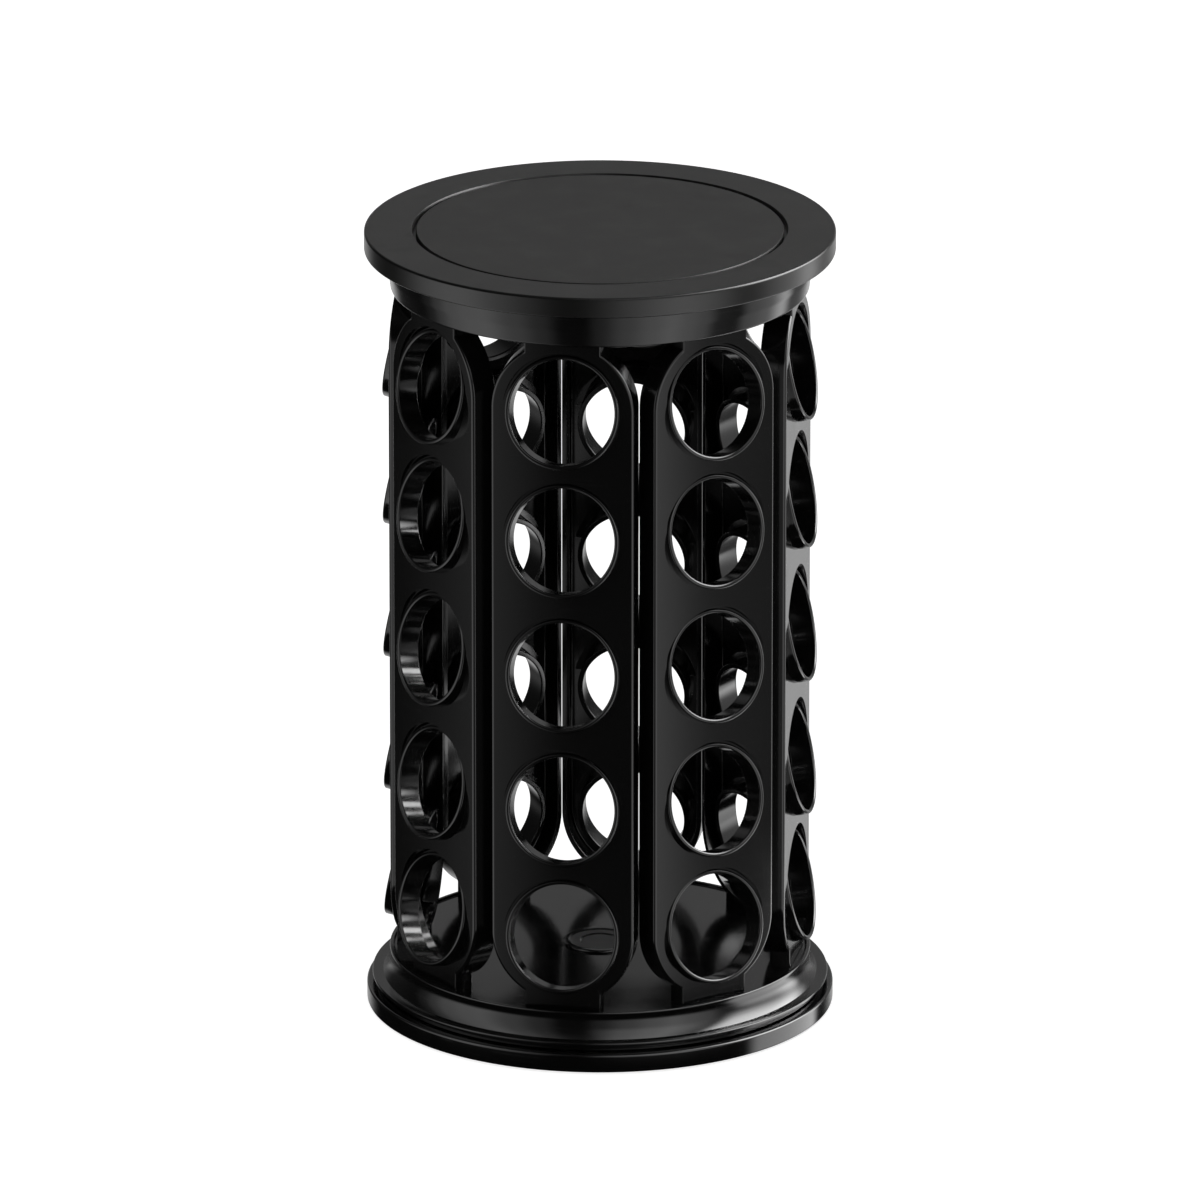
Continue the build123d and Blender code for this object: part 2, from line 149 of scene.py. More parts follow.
def chain(tree, operation, *values):
    """Several values combined by the same sum, one after the other."""
    result = values[0]
    for value in values[1:]:
        result = maths(tree, operation, result, value)
    return result


def between(tree, value, low, high, out_low=0.0, out_high=1.0):
    """The value carried from one range to another, smoothly, and kept in it."""
    made = node(tree, "MapRange", {
        "Value": value, "From Min": low, "From Max": high, "To Min": out_low, "To Max": out_high,
    }, interpolation_type="SMOOTHSTEP")
    return made.outputs["Result"]


def span(tree, value, start, end, blur):
    """One between start and end and zero outside, with edges that are this blurred."""
    rise = between(tree, value, start - blur / 2, start + blur / 2)
    fall = between(tree, value, end - blur / 2, end + blur / 2, 1.0, 0.0)
    return maths(tree, "MULTIPLY", rise, fall)


def light_shell(shell, name):
    """Makes the active object a stage shell of light. Returns its node tree, its place and its bearing."""
    shell.name = shell.data.name = name
    for ray in ("camera", "diffuse", "transmission", "volume_scatter", "shadow"):
        setattr(shell, "visible_" + ray, False)
    paint = bpy.data.materials.new(name)
    paint.use_nodes = True
    paint.cycles.emission_sampling = "NONE"
    shell.data.materials.append(paint)
    tree = paint.node_tree
    tree.nodes.remove(tree.nodes["Principled BSDF"])
    spot = node(tree, "SeparateXYZ", {0: node(tree, "TexCoord").outputs["Object"]}).outputs
    bearing = maths(tree, "ARCTAN2", spot["X"], maths(tree, "MULTIPLY", spot["Y"], -1.0))
    bearing = maths(tree, "WRAP", maths(tree, "SUBTRACT", bearing, VIEW_AZIMUTH), math.pi, -math.pi)
    return tree, spot, maths(tree, "DEGREES", bearing)


def shine(tree, *lights):
    """Adds up the shell's lights and lays them over what is seen through it."""
    glow = node(tree, "Emission", {"Strength": chain(tree, "ADD", *lights)}).outputs[0]
    both = node(tree, "AddShader", {0: glow, 1: node(tree, "BsdfTransparent").outputs[0]}).outputs[0]
    tree.links.new(both, tree.nodes["Material Output"].inputs["Surface"])


# The drum, in metres. Each tone is (bearing in degrees, positive to the right of the camera; brightness).
DRUM_R, DRUM_Z0, DRUM_Z1 = 0.25, -0.14, 0.37
DRUM_TONES = [
    (-180, 0.03), (-155, 0.06), (-138, 0.24), (-124, 0.04), (-99, 0.02), (-91, 0.13), (-84, 0.5), (-76, 1.05),
    (-64, 1.45), (-56, 1.6), (-40, 0.9), (-27, 0.4), (-17, 0.03), (-7, 0.02), (0, 0.28), (12, 0.9), (24, 1.5),
    (33, 1.9), (42, 1.45), (49, 1.1), (58, 0.25), (68, 0.16), (76, 0.9), (90, 1.1), (103, 2.7), (114, 0.3),
    (138, 0.27), (155, 0.06), (180, 0.03),
]
BRIGHTEST = 3.0
DRUM_LIT = (-0.033, 0.35, 0.03)
LOW_GLOW_BEARING, LOW_GLOW_UP = (66, 112, 8), (0.045, -0.015, 0.0, 3.0)

# The dome. Each patch of light has limits in degrees, as start, end and blur, across and upwards.
DOME_R = 3.0
WINDOW_BEARING, WINDOW_RISE, WINDOW_LIGHT = (74, 132, 16), (17, 62, 40), 12.0
FRONT_BEARING, FRONT_RISE, FRONT_LIGHT = (0, 56, 20), (22, 75, 20), 0.8
BEHIND_FROM, BEHIND_FULL = 140, 165
REAR_RISE, REAR_LIGHT = (0, 55, 30), 0.21
FAR_FLOOR_RISE, FAR_FLOOR_LIGHT = (-55, -8, 10), 0.6
OVERHEAD = (30, 70, 0.01, 0.1)

bpy.ops.object.select_all(action="DESELECT")
bpy.ops.mesh.primitive_cylinder_add(
    vertices=180, radius=DRUM_R, depth=DRUM_Z1 - DRUM_Z0, end_fill_type="NOTHING",
    location=(0, 0, (DRUM_Z0 + DRUM_Z1) / 2),
)
bpy.ops.object.transform_apply(location=True)
tree, spot, bearing = light_shell(bpy.context.object, "light_drum")
ramp = node(tree, "ValToRGB", {"Fac": maths(tree, "DIVIDE", maths(tree, "ADD", bearing, 180.0), 360.0)})
ramp.color_ramp.interpolation = "EASE"
stops = ramp.color_ramp.elements
ready_made = {0.0: 0, 1.0: -1}
for degrees, tone in DRUM_TONES:
    position = (degrees + 180) / 360
    stop = stops[ready_made[position]] if position in ready_made else stops.new(position)
    stop.color = (tone / BRIGHTEST,) * 3 + (1,)
upright = chain(tree, "MULTIPLY", ramp.outputs["Color"], BRIGHTEST, span(tree, spot["Z"], *DRUM_LIT))
low_part = between(tree, spot["Z"], *LOW_GLOW_UP)
low_glow = maths(tree, "MULTIPLY", span(tree, bearing, *LOW_GLOW_BEARING), low_part)
shine(tree, upright, low_glow)

bpy.ops.object.select_all(action="DESELECT")
bpy.ops.mesh.primitive_uv_sphere_add(segments=96, ring_count=48, radius=DOME_R)
tree, spot, bearing = light_shell(bpy.context.object, "light_dome")
across = maths(tree, "ADD", maths(tree, "POWER", spot["X"], 2.0), maths(tree, "POWER", spot["Y"], 2.0))
rise = maths(tree, "DEGREES", maths(tree, "ARCTAN2", spot["Z"], maths(tree, "SQRT", across)))
behind = between(tree, maths(tree, "ABSOLUTE", bearing), BEHIND_FROM, BEHIND_FULL)
patches = [
    (span(tree, bearing, *WINDOW_BEARING), WINDOW_RISE, WINDOW_LIGHT),
    (span(tree, bearing, *FRONT_BEARING), FRONT_RISE, FRONT_LIGHT),
    (behind, REAR_RISE, REAR_LIGHT),
    (behind, FAR_FLOOR_RISE, FAR_FLOOR_LIGHT),
]
lights = [chain(tree, "MULTIPLY", side, span(tree, rise, *limits), light) for side, limits, light in patches]
shine(tree, *lights, between(tree, rise, *OVERHEAD))
print("shells of light:", len(DRUM_TONES), "tones on the drum,", len(lights), "patches on the dome")

DIM_SKY = 0.35
sky = bpy.data.worlds.new("dim_even_sky")
bpy.context.scene.world = sky
sky.use_nodes = True
sky.cycles_visibility.glossy = False
air = sky.node_tree
seen = node(air, "LightPath").outputs["Is Camera Ray"]
backdrop = air.nodes["Background"]
air.links.new(maths(air, "MAXIMUM", DIM_SKY, seen), backdrop.inputs["Strength"])
backdrop.inputs["Color"].default_value = (1, 1, 1, 1)


# %% [markdown]
# The floor is plain and matt. It lifts its own brightness for the camera alone, so that it looks nearly as
# pale as the background, and it hides from reflections, where the drum and the dome do the work.

# %% Floor
FLOOR_SIZE, FLOOR_GREY, FLOOR_LIFT = 12, 0.9, 0.85


def new_paint(name):
    """A new material, its node tree and its shader."""
    made = bpy.data.materials.new(name)
    made.use_nodes = True
    return made, made.node_tree, made.node_tree.nodes["Principled BSDF"]


bpy.ops.object.select_all(action="DESELECT")
bpy.ops.mesh.primitive_plane_add(size=FLOOR_SIZE, location=(0, 0, 0))
floor = bpy.context.object
floor.name = "studio_floor"
floor.visible_glossy = False
floor_paint, tree, paint = new_paint("pale_floor")
paint.inputs["Base Color"].default_value = (FLOOR_GREY, FLOOR_GREY, FLOOR_GREY, 1)
paint.inputs["Roughness"].default_value = 0.9
paint.inputs["Specular IOR Level"].default_value = 0.0
paint.inputs["Emission Color"].default_value = (1, 1, 1, 1)
lifted = maths(tree, "MULTIPLY", node(tree, "LightPath").outputs["Is Camera Ray"], FLOOR_LIFT)
tree.links.new(lifted, paint.inputs["Emission Strength"])
floor.data.materials.append(floor_paint)
bpy.context.scene.view_settings.view_transform = "Standard"
print("floor", FLOOR_SIZE, "m wide")

# %% [markdown]
# ## Workshop helpers
# A turned piece starts as one point that is extruded along its outline, and is then spun round the axis. An
# outline is a short list of corners, each with the radius that rounds it. Rounded corners matter: on black
# plastic almost all that the eye sees is the thin line of light along an edge.

# %% Helpers
ARC_STEP = math.radians(18)
WELD_MM = 0.002
WIDE_STEPS, SMALL_STEPS = 288, 96


def rounded(corners):
    """The points of a closed outline. A corner is (across, up, radius), and its radius rounds it."""
    points = []
    for i, (x, z, radius) in enumerate(corners):
        here = Vector((x, z))
        if not radius:
            points.append(here)
            continue
        before = (Vector(corners[i - 1][:2]) - here).normalized()
        after = (Vector(corners[(i + 1) % len(corners)][:2]) - here).normalized()
        half = before.angle(after) / 2
        centre = here + (before + after).normalized() * (radius / math.sin(half))
        start = here + before * (radius / math.tan(half)) - centre
        end = here + after * (radius / math.tan(half)) - centre
        turn = math.atan2(start.x * end.y - start.y * end.x, start.dot(end))
        steps = max(2, round(abs(turn) / ARC_STEP))
        points += [centre + Matrix.Rotation(turn * k / steps, 2) @ start for k in range(steps + 1)]
    return points


def only(obj):
    """Selects this object alone."""
    bpy.ops.object.select_all(action="DESELECT")
    obj.select_set(True)
    bpy.context.view_layer.objects.active = obj


def start_editing(obj):
    only(obj)
    bpy.ops.object.mode_set(mode="EDIT")


def stop_editing():
    bpy.ops.object.mode_set(mode="OBJECT")
    return bpy.context.object


def pick(kind, test):
    """In edit mode, selects the vertices, edges or faces that pass the test, and nothing else."""
    bpy.ops.mesh.select_mode(type=kind)
    bpy.ops.mesh.select_all(action="DESELECT")
    shape = bmesh.from_edit_mesh(bpy.context.edit_object.data)
    parts = {"VERT": shape.verts, "EDGE": shape.edges, "FACE": shape.faces}[kind]
    for part in [p for p in parts if test(p)]:
        part.select_set(True)
    shape.select_flush_mode()
    bmesh.update_edit_mesh(bpy.context.edit_object.data)


def all_at(part, axis, value, slack=2e-6):
    """Do all corners of this edge or face lie at that value of the axis, given in millimetres?"""
    return all(abs(v.co[axis] - value * MM) < slack for v in part.verts)


def turned(name, corners, steps):
    """An outline of (radius, height, rounding) corners, in millimetres, spun about the upright axis."""
    points = [Vector((p.x, 0, p.y)) * MM for p in rounded(corners)]
    solid_middle = points[0].x == 0 and points[-1].x == 0
    bpy.ops.object.select_all(action="DESELECT")
    bpy.ops.mesh.primitive_plane_add(size=MM, location=(0, 0, 0))
    obj = bpy.context.object
    obj.name = obj.data.name = name
    bpy.ops.object.mode_set(mode="EDIT")
    bpy.ops.mesh.select_mode(type="VERT")
    bpy.ops.mesh.merge(type="CENTER")
    bpy.ops.transform.translate(value=points[0])
    for a, b in zip(points, points[1:] if solid_middle else points[1:] + points[:1]):
        bpy.ops.mesh.extrude_vertices_move(TRANSFORM_OT_translate={"value": b - a})
    bpy.ops.mesh.select_all(action="SELECT")
    bpy.ops.mesh.spin(steps=steps, angle=TAU, center=(0, 0, 0), axis=(0, 0, 1))
    bpy.ops.mesh.select_all(action="SELECT")
    bpy.ops.mesh.remove_doubles(threshold=1e-6)
    bpy.ops.mesh.normals_make_consistent(inside=False)
    return stop_editing()


def box(name, low, high):
    """A cuboid between two corners, in millimetres."""
    low, high = Vector(low) * MM, Vector(high) * MM
    bpy.ops.object.select_all(action="DESELECT")
    bpy.ops.mesh.primitive_cube_add(size=1, location=(low + high) / 2, scale=high - low)
    bpy.ops.object.transform_apply(location=True, rotation=True, scale=True)
    obj = bpy.context.object
    obj.name = obj.data.name = name
    return obj


def place(obj, matrix):
    """Puts the object there for good: its place goes into its mesh."""
    only(obj)
    obj.matrix_world = matrix
    bpy.ops.object.transform_apply(location=True, rotation=True, scale=True)
    return obj


def copy_of(obj, name):
    """A copy with its own mesh."""
    only(obj)
    bpy.ops.object.duplicate(linked=False)
    made = bpy.context.object
    made.name = made.data.name = name
    return made


def joined(objs, name):
    """Several separate shapes as one object."""
    bpy.ops.object.select_all(action="DESELECT")
    for o in objs:
        o.select_set(True)
    bpy.context.view_layer.objects.active = objs[0]
    if len(objs) > 1:
        bpy.ops.object.join()
    made = bpy.context.object
    made.name = made.data.name = name
    return made


def repeated(obj, name, places):
    """The shape repeated at these places, as one object. The first shape is used up."""
    copies = [place(copy_of(obj, name), where) for where in places]
    bpy.data.objects.remove(obj)
    return joined(copies, name)


def around(count, first=0.0, radius=0.0):
    """Places evenly round the upright axis, starting at that share of a step, at that radius in mm."""
    outwards = Matrix.Translation(Vector((radius, 0, 0)) * MM)
    return [Matrix.Rotation(TAU * (i + first) / count, 4, "Z") @ outwards for i in range(count)]


def carve(obj, tool, how):
    """A boolean with a tool object, which is used up. how is UNION, DIFFERENCE or INTERSECT.

    Both meshes are a thousand times larger meanwhile, because the solver rounds small numbers badly.
    """
    for mesh in (obj.data, tool.data):
        mesh.transform(Matrix.Scale(1 / MM, 4))
    only(obj)
    cut = obj.modifiers.new("carve", "BOOLEAN")
    cut.object, cut.operation, cut.solver = tool, how, "EXACT"
    bpy.ops.object.modifier_apply(modifier=cut.name)
    bpy.data.objects.remove(tool)
    start_editing(obj)
    bpy.ops.mesh.select_all(action="SELECT")
    bpy.ops.mesh.remove_doubles(threshold=WELD_MM)
    stop_editing()
    obj.data.transform(Matrix.Scale(MM, 4))
    return obj


def finish_shading(obj, degrees=35):
    """Smooth where the shape is round, crisp at corners, and flat faces kept flat."""
    only(obj)
    bpy.ops.object.shade_smooth_by_angle(angle=math.radians(degrees))
    even = obj.modifiers.new("even", "WEIGHTED_NORMAL")
    even.keep_sharp = True
    bpy.ops.object.modifier_apply(modifier=even.name)
    print(obj.name, len(obj.data.polygons), "faces")
    return obj


# %% [markdown]
# ## One column: the tray
# Each column is a shallow moulded tray, open towards the middle, with fully round ends. A circle is the
# natural start: its upper half is moved up to make the long round-ended outline, and the outline is then
# extruded, hollowed from behind with an inset, and rounded along its front edge.

# %% Tray
def stadium_tray():
    """The tray alone, facing -Y."""
    segments = 96
    spread = 1 / math.cos(math.pi / segments)
    bpy.ops.object.select_all(action="DESELECT")
    bpy.ops.mesh.primitive_circle_add(vertices=segments, radius=COLUMN_W / 2 * MM * spread, fill_type="NGON")
    obj = bpy.context.object
    obj.name = obj.data.name = "tray"
    half_step = Matrix.Rotation(math.pi / segments, 4, "Y")
    onto_face = Matrix.Translation(Vector((0, -FACE_R, ARC_LOW)) * MM)
    place(obj, onto_face @ half_step @ Matrix.Rotation(math.pi / 2, 4, "X"))
    start_editing(obj)
    pick("VERT", lambda v: v.co.z > ARC_LOW * MM)
    bpy.ops.transform.translate(value=(0, 0, (ARC_HIGH - ARC_LOW) * MM))
    bpy.ops.mesh.select_all(action="SELECT")
    bpy.ops.mesh.extrude_region_move(TRANSFORM_OT_translate={"value": (0, TRAY_DEPTH * MM, 0)})
    bpy.ops.mesh.select_all(action="SELECT")
    bpy.ops.mesh.normals_make_consistent(inside=False)
    back = -FACE_R + TRAY_DEPTH
    pick("FACE", lambda f: all_at(f, 1, back))
    bpy.ops.mesh.inset(thickness=SIDE_T * MM)
    bpy.ops.mesh.extrude_region_move(TRANSFORM_OT_translate={"value": (0, -(TRAY_DEPTH - FACE_T) * MM, 0)})
    pick("EDGE", lambda e: all_at(e, 1, -FACE_R) and len(e.link_faces) == 2)
    bpy.ops.mesh.bevel(offset=1.3 * MM, segments=5, affect="EDGES")
    pick("EDGE", lambda e: all_at(e, 1, back) and abs(e.calc_face_angle(0)) > 1)
    bpy.ops.mesh.bevel(offset=0.2 * MM, segments=2, affect="EDGES")
    pick("EDGE", lambda e: all_at(e, 1, -FACE_R + FACE_T) and abs(e.calc_face_angle(0)) > 1)
    bpy.ops.mesh.bevel(offset=0.8 * MM, segments=3, affect="EDGES")
    return stop_editing()


def tab(z0, z1, tip):
    """The block at one end of the tray, with chamfered corners on its tip."""
    obj = box("tab", (-TAB_W / 2, -FACE_R, z0), (TAB_W / 2, -FACE_R + TAB_D, z1))
    start_editing(obj)
    back, root = -FACE_R + TAB_D, z0 + z1 - tip
    pick("EDGE", lambda e: all_at(e, 2, tip) or (all_at(e, 1, back) and not all_at(e, 2, root)))
    bpy.ops.mesh.bevel(offset=0.6 * MM, segments=2, affect="EDGES")
    pick("EDGE", lambda e: all_at(e, 1, -FACE_R) and abs(e.verts[0].co.x - e.verts[1].co.x) < 1e-6)
    bpy.ops.mesh.bevel(offset=0.5 * MM, segments=3, affect="EDGES")
    return stop_editing()


# %% [markdown]
# ## One column: the sockets
# A socket is a short tube, tilted so that its mouth looks a little up. Below, its lip stands proud of the
# face; above, it dips behind it, inside a shallow crescent pocket. The tube is turned once with a full round
# lip, copied to the five rows and fused with the tray after the pockets and the holes are cut.

# %% Sockets
TAB_OVERLAP, TUBE_OVERLAP = 6, 0.6
SHELF_RIM, BEHIND_FACE = 1.6, 0.3
IN_FRONT, FAR_BEHIND = 12, 40
LIP_ROUNDING, DRAFT = 0.9, 0.25


def socket_matrix(z):
    """From a socket's own frame, +Z out of its mouth, to its row."""
    mouth = Matrix.Translation(Vector((0, -FACE_R - SOCKET_PROUD, z)) * MM)
    return mouth @ Matrix.Rotation(math.pi / 2 - TILT, 4, "X")


def disc(name, radius, z0, z1, steps=SMALL_STEPS):
    """A plain round plug between two heights."""
    return turned(name, [(0, z0, 0), (radius, z0, 0), (radius, z1, 0), (0, z1, 0)], steps)


def build_column():
    """The whole column: the tray with its tabs, the crescent pockets and the five sockets."""
    tray = stadium_tray()
    carve(tray, tab(TAB_Z0, STADIUM_Z0 + TAB_OVERLAP, TAB_Z0), "UNION")
    carve(tray, tab(STADIUM_Z1 - TAB_OVERLAP, TAB_Z1, TAB_Z1), "UNION")
    rows = [socket_matrix(z) for z in ROW_Z]
    outer = SOCKET_R + SOCKET_WALL
    shelf = disc("shelf", POCKET_R + SHELF_RIM, -POCKET_DROP - POCKET_FLOOR_T, -POCKET_DROP)
    shelf = repeated(shelf, "shelf", rows)
    start_editing(shelf)
    bpy.ops.mesh.select_all(action="SELECT")
    plane_y = (-FACE_R + BEHIND_FACE) * MM
    bpy.ops.mesh.bisect(plane_co=(0, plane_y, 0), plane_no=(0, 1, 0), use_fill=True, clear_inner=True)
    stop_editing()
    carve(tray, shelf, "UNION")
    pocket = disc("pocket", POCKET_R, -POCKET_DROP, IN_FRONT)
    carve(tray, repeated(pocket, "pocket", rows), "DIFFERENCE")
    hole = disc("hole", outer - TUBE_OVERLAP, -FAR_BEHIND, IN_FRONT)
    carve(tray, repeated(hole, "hole", rows), "DIFFERENCE")
    tube = turned("tube", [
        (SOCKET_R, 0, LIP_ROUNDING), (outer, 0, LIP_ROUNDING), (outer, -SOCKET_DEPTH, 0.3),
        (SOCKET_R - DRAFT, -SOCKET_DEPTH, 0.5),
    ], SMALL_STEPS)
    carve(tray, repeated(tube, "tubes", rows), "UNION")
    return finish_shading(tray)


# %% [markdown]
# ## Finishes
# All the plastic is black, so colour says little and the surface says nearly everything: how sharp the
# reflections are, how they waver, and where dust, fingers and use have dulled them. Those effects are node
# groups, built once here and placed in each material with its own values.

# %% Node group helpers
def new_group(name, ins, outs):
    """An empty group. ins and outs are lists of (socket name, socket type, default value)."""
    group = bpy.data.node_groups.new(name, "ShaderNodeTree")
    for side, sockets in (("INPUT", ins), ("OUTPUT", outs)):
        for label, kind, value in sockets:
            socket = group.interface.new_socket(name=label, in_out=side, socket_type="NodeSocket" + kind)
            if side == "INPUT" and value is not None:
                socket.default_value = value
    return group, group.nodes.new("NodeGroupInput"), group.nodes.new("NodeGroupOutput")


def mixed(tree, factor, a, b):
    """A colour between a and b. Each is a colour or a socket."""
    made = node(tree, "Mix", {"Factor": factor}, data_type="RGBA")
    sockets = {s.identifier: s for s in made.inputs}
    for key, value in (("A_Color", a), ("B_Color", b)):
        if isinstance(value, bpy.types.NodeSocket):
            tree.links.new(value, sockets[key])
        else:
            sockets[key].default_value = (*value, 1)
    return {s.identifier: s for s in made.outputs}["Result_Color"]


# %% [markdown]
# Moulded plastic is never perfectly flat. It copies the fine texture of the steel mould, and it sinks very
# slightly where the wall behind it is thick. The first group gives a fine grain and a broad waviness at
# random places, as one height for a Bump node.

# %% Moulded skin
def moulded_skin_group():
    group, ins, outs = new_group("moulded_skin", [
        ("Grain Size", "Float", 0.4), ("Grain Depth", "Float", 1.0), ("Waviness", "Float", 1.0),
    ], [("Height", "Float", None), ("Grain", "Float", None)])
    place_on = node(group, "TexCoord").outputs["Object"]
    per_metre = maths(group, "DIVIDE", 1000.0, ins.outputs["Grain Size"])
    grain = node(group, "TexNoise", {
        "Vector": place_on, "Scale": per_metre, "Detail": 3.0, "Roughness": 0.65,
    }).outputs["Fac"]
    sink = node(group, "TexNoise", {
        "Vector": place_on, "Scale": 34.0, "Detail": 1.0, "Roughness": 0.4,
    }).outputs["Fac"]
    fine = maths(group, "MULTIPLY", grain, ins.outputs["Grain Depth"])
    broad = maths(group, "MULTIPLY", sink, ins.outputs["Waviness"])
    group.links.new(maths(group, "ADD", fine, broad), outs.inputs["Height"])
    group.links.new(grain, outs.inputs["Grain"])
    return group


# %% [markdown]
# A tower that stands in a kitchen and is turned by hand is touched near its edges, and wiped. Hair scratches
# in all directions and soft cloudy smears come of that. They change roughness far more than colour.

# %% Handling marks
def handling_group():
    group, ins, outs = new_group("handling_marks", [
        ("Smears", "Float", 0.5), ("Scratches", "Float", 0.5),
    ], [("Roughening", "Float", None), ("Scratch", "Float", None)])
    place_on = node(group, "TexCoord").outputs["Object"]
    cloud = node(group, "TexNoise", {
        "Vector": place_on, "Scale": 22.0, "Detail": 4.0, "Roughness": 0.55, "Distortion": 0.6,
    }).outputs["Fac"]
    smear = maths(group, "MULTIPLY", between(group, cloud, 0.42, 0.75), ins.outputs["Smears"])
    lines = []
    for turn, squeeze, scale in ((0.5, 50.0, 30.0), (2.1, 40.0, 36.0), (3.9, 45.0, 26.0)):
        laid = node(group, "Mapping", {
            "Vector": place_on, "Rotation": (turn, 1.7 * turn, 0.6 * turn), "Scale": (1.0, 1.0, squeeze),
        }).outputs["Vector"]
        hair = node(group, "TexNoise", {
            "Vector": laid, "Scale": scale, "Detail": 1.0, "Roughness": 0.4,
        }).outputs["Fac"]
        lines.append(between(group, hair, 0.73, 0.77))
    scratch = maths(group, "MULTIPLY", chain(group, "MAXIMUM", *lines), ins.outputs["Scratches"])
    roughening = maths(group, "ADD", smear, maths(group, "MULTIPLY", scratch, 0.5))
    group.links.new(roughening, outs.inputs["Roughening"])
    group.links.new(scratch, outs.inputs["Scratch"])
    return group


# %% [markdown]
# Edges that are rubbed lose their polish and turn a shade paler. A Bevel node finds them: where the rounded
# normal that it makes differs from the real one, there is an edge.

# %% Worn edges and settled dust
def edge_wear_group():
    group, ins, outs = new_group("edge_wear", [
        ("Width", "Float", 0.0006), ("Amount", "Float", 0.5),
    ], [("Wear", "Float", None)])
    soft_normal = node(group, "Bevel", {"Radius": ins.outputs["Width"]}, samples=4).outputs["Normal"]
    plain_normal = node(group, "NewGeometry").outputs["Normal"]
    normals = {0: soft_normal, 1: plain_normal}
    same = node(group, "VectorMath", normals, operation="DOT_PRODUCT").outputs["Value"]
    place_on = node(group, "TexCoord").outputs["Object"]
    broken = node(group, "TexNoise", {"Vector": place_on, "Scale": 120.0, "Detail": 3.0}).outputs["Fac"]
    edge = between(group, same, 0.999, 0.93)
    rubbed = chain(group, "MULTIPLY", edge, between(group, broken, 0.35, 0.7), ins.outputs["Amount"])
    group.links.new(rubbed, outs.inputs["Wear"])
    return group


def dust_group():
    group, ins, outs = new_group("settled_dust", [("Amount", "Float", 0.3)], [("Dust", "Float", None)])
    up = node(group, "SeparateXYZ", {0: node(group, "NewGeometry").outputs["Normal"]}).outputs["Z"]
    place_on = node(group, "TexCoord").outputs["Object"]
    drift = node(group, "TexNoise", {"Vector": place_on, "Scale": 60.0, "Detail": 5.0}).outputs["Fac"]
    specks = node(group, "TexVoronoi", {"Vector": place_on, "Scale": 420.0}).outputs["Distance"]
    speck = between(group, specks, 0.16, 0.06)
    film = between(group, drift, 0.4, 0.8, 0.0, 0.5)
    layer = maths(group, "ADD", film, maths(group, "MULTIPLY", speck, 0.6))
    flat = between(group, up, 0.75, 1.0)
    group.links.new(chain(group, "MULTIPLY", layer, flat, ins.outputs["Amount"]), outs.inputs["Dust"])
    return group


MOULDED_SKIN, HANDLING = moulded_skin_group(), handling_group()
EDGE_WEAR, DUST = edge_wear_group(), dust_group()
print("effect groups:", [g.name for g in bpy.data.node_groups])


# %% [markdown]
# One function makes every black plastic on the carousel. The columns are glossy, the base and collar are
# glossier still, and the top and its inlay have a finer, softer sheen that spreads the light over them.

# %% Plastics
def use_group(tree, group, **values):
    made = tree.nodes.new("ShaderNodeGroup")
    made.node_tree = group
    for key, value in values.items():
        made.inputs[key.replace("_", " ")].default_value = value
    return made


PLASTIC_IOR = 1.49
BUMP_STRENGTH, BUMP_DEPTH = 0.35, 0.00003


def plastic(name, colour, worn, dusty, roughness, grain, smears, scratches, wear, dust):
    """A moulded plastic. grain is (size in mm, depth, waviness); roughness is (polished, dulled)."""
    made, tree, shader = new_paint(name)
    shader.inputs["IOR"].default_value = PLASTIC_IOR
    skin = use_group(tree, MOULDED_SKIN, Grain_Size=grain[0], Grain_Depth=grain[1], Waviness=grain[2])
    marks = use_group(tree, HANDLING, Smears=smears, Scratches=scratches)
    edges = use_group(tree, EDGE_WEAR, Amount=wear)
    settled = use_group(tree, DUST, Amount=dust)

    tone = node(tree, "MapRange", {
        "Value": skin.outputs["Grain"], "From Min": 0.3, "From Max": 0.7, "To Min": 0.82, "To Max": 1.18,
    }).outputs["Result"]
    base = node(tree, "VectorMath", {0: colour, "Scale": tone}, operation="SCALE").outputs["Vector"]
    paler = mixed(tree, edges.outputs["Wear"], base, worn)
    tree.links.new(mixed(tree, settled.outputs["Dust"], paler, dusty), shader.inputs["Base Color"])

    dulled = maths(tree, "ADD", marks.outputs["Roughening"], edges.outputs["Wear"])
    dulled = maths(tree, "ADD", dulled, settled.outputs["Dust"], clamp=True)
    rough = node(tree, "MapRange", {
        "Value": dulled, "From Min": 0.0, "From Max": 1.0, "To Min": roughness[0], "To Max": roughness[1],
    }).outputs["Result"]
    tree.links.new(rough, shader.inputs["Roughness"])

    scored = maths(tree, "MULTIPLY", marks.outputs["Scratch"], 0.4)
    height = maths(tree, "SUBTRACT", skin.outputs["Height"], scored)
    bump = node(tree, "Bump", {"Height": height, "Strength": BUMP_STRENGTH, "Distance": BUMP_DEPTH})
    tree.links.new(bump.outputs["Normal"], shader.inputs["Normal"])
    return made


